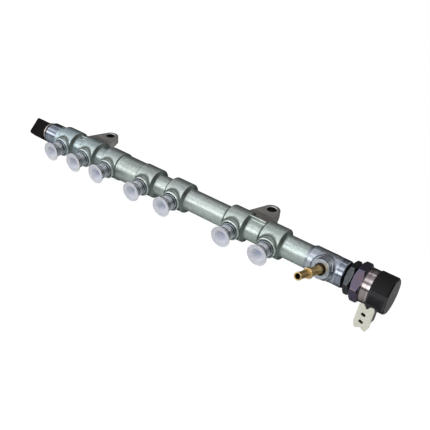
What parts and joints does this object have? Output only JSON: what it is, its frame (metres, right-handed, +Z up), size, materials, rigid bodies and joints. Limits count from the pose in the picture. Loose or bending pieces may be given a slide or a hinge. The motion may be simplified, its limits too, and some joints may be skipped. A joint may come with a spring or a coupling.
{
  "type": "fuel rail",
  "caption": "Forged common-rail fuel rail with capped threaded outlets, two fixing lugs, an end pressure sensor, a control valve and a brass return nipple.",
  "frame": {"origin": "middle of the two fixing holes, on the seating face of the lugs", "axes": "+X along the rail toward the control valve, +Z up along the fixing screws, -Y the way the outlets point"},
  "size_m": [0.4035, 0.0858, 0.0375],
  "materials": {
    "zinc_steel": "satin zinc-plated forging",
    "cap_plastic": "milky translucent polyethylene",
    "sensor_steel": "satin turned steel",
    "seal_rubber": "black elastomer",
    "black_moulding": "black glass-filled moulding",
    "contact_metal": "tinned contact",
    "brass_fitting": "turned yellow brass",
    "copper_washer": "soft copper",
    "nut_steel": "dark plated steel",
    "hex_steel": "bluish brown plated steel",
    "yoke_steel": "polished plated steel",
    "inner_steel": "ground steel",
    "coil_winding": "enamelled winding",
    "cream_moulding": "cream moulding"
  },
  "bodies": {
    "root": {"rail_body": "zinc_steel", "port_cap_1": "cap_plastic", "port_cap_2": "cap_plastic", "port_cap_3": "cap_plastic", "port_cap_4": "cap_plastic", "port_cap_5": "cap_plastic", "port_cap_6": "cap_plastic", "port_cap_7": "cap_plastic", "sensor_body": "sensor_steel", "sensor_seal": "seal_rubber", "sensor_diaphragm": "inner_steel", "sensor_connector": "black_moulding", "sensor_pin_1": "contact_metal", "sensor_pin_2": "contact_metal", "sensor_pin_3": "contact_metal", "return_washer": "copper_washer", "return_fitting": "brass_fitting", "valve_seal": "seal_rubber", "valve_lock_nut": "nut_steel", "valve_spacer": "seal_rubber", "valve_hex_nut": "hex_steel", "valve_cartridge": "inner_steel", "valve_ball": "inner_steel", "valve_armature": "inner_steel", "valve_spring": "inner_steel", "valve_pole": "inner_steel", "valve_coil": "coil_winding", "valve_yoke": "yoke_steel", "valve_head": "black_moulding", "valve_connector_cover": "cream_moulding", "valve_blade_1": "contact_metal", "valve_blade_2": "contact_metal"}
  },
  "joints": []
}
